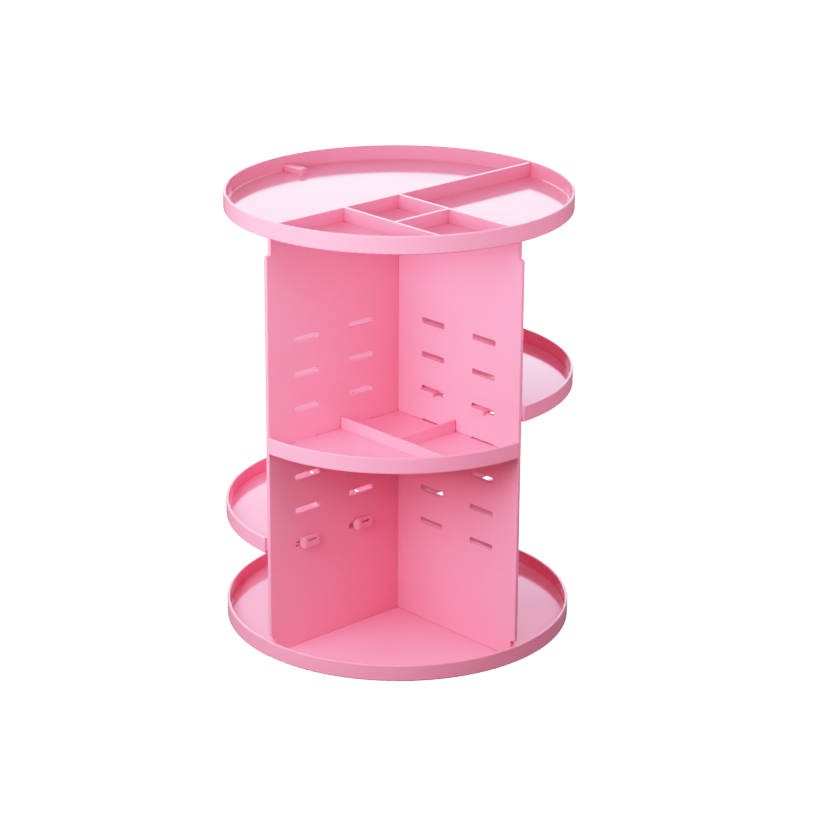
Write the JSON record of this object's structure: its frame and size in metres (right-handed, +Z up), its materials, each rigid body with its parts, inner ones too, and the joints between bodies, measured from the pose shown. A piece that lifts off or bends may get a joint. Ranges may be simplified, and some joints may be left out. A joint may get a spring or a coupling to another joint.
{
  "type": "rotating makeup organizer",
  "caption": "Round rotating makeup organizer: slotted cross panels between two round trays, hook-in quarter shelves, divided top tray and ball-bearing turntable.",
  "frame": {"origin": "on the axis of rotation, on the surface that the feet stand on", "axes": "+Z up along the axis of rotation; the four upright panels lie along +X, +Y, -X and -Y; the divided front shelf fills the quarter x > 0, y < 0"},
  "size_m": [0.2346, 0.2346, 0.307],
  "materials": {
    "pink_plastic": "glossy moulded plastic",
    "cage_plastic": "natural nylon",
    "ball_steel": "polished bearing steel",
    "zinc_steel": "zinc-plated steel",
    "foot_rubber": "pale soft rubber"
  },
  "bodies": {
    "base": {"turntable_disc": "pink_plastic", "foot_pad_1": "foot_rubber", "foot_pad_2": "foot_rubber", "foot_pad_3": "foot_rubber", "foot_pad_4": "foot_rubber", "foot_pad_5": "foot_rubber", "foot_pad_6": "foot_rubber"},
    "cage": {"ball_cage": "cage_plastic", "bearing_balls": "ball_steel"},
    "tower": {"base_tray": "pink_plastic", "pivot_washer": "zinc_steel", "pivot_screw": "zinc_steel", "panel_front_right": "pink_plastic", "panel_back_right": "pink_plastic", "panel_back_left": "pink_plastic", "panel_front_left": "pink_plastic", "top_tray": "pink_plastic"},
    "front_shelf": {"shelf_front": "pink_plastic"},
    "right_shelf": {"shelf_right": "pink_plastic"},
    "left_shelf": {"shelf_left": "pink_plastic"}
  },
  "joints": [
    {"name": "spin", "type": "hinge", "parent": "base", "child": "tower", "pos_m": [0, 0, 0.005], "axis": [0, 0, 1], "continuous": true},
    {"name": "cage_spin", "type": "hinge", "parent": "base", "child": "cage", "pos_m": [0, 0, 0.0057], "axis": [0, 0, 1], "continuous": true},
    {"name": "front_shelf_lift", "type": "slide", "parent": "tower", "child": "front_shelf", "axis": [0, 0, 1], "range_m": [0, 0.0019]},
    {"name": "right_shelf_lift", "type": "slide", "parent": "tower", "child": "right_shelf", "axis": [0, 0, 1], "range_m": [0, 0.0019]},
    {"name": "left_shelf_lift", "type": "slide", "parent": "tower", "child": "left_shelf", "axis": [0, 0, 1], "range_m": [0, 0.0019]}
  ],
  "couplings": [
    {"joint": "cage_spin", "follows": "spin", "ratio": 0.5}
  ]
}
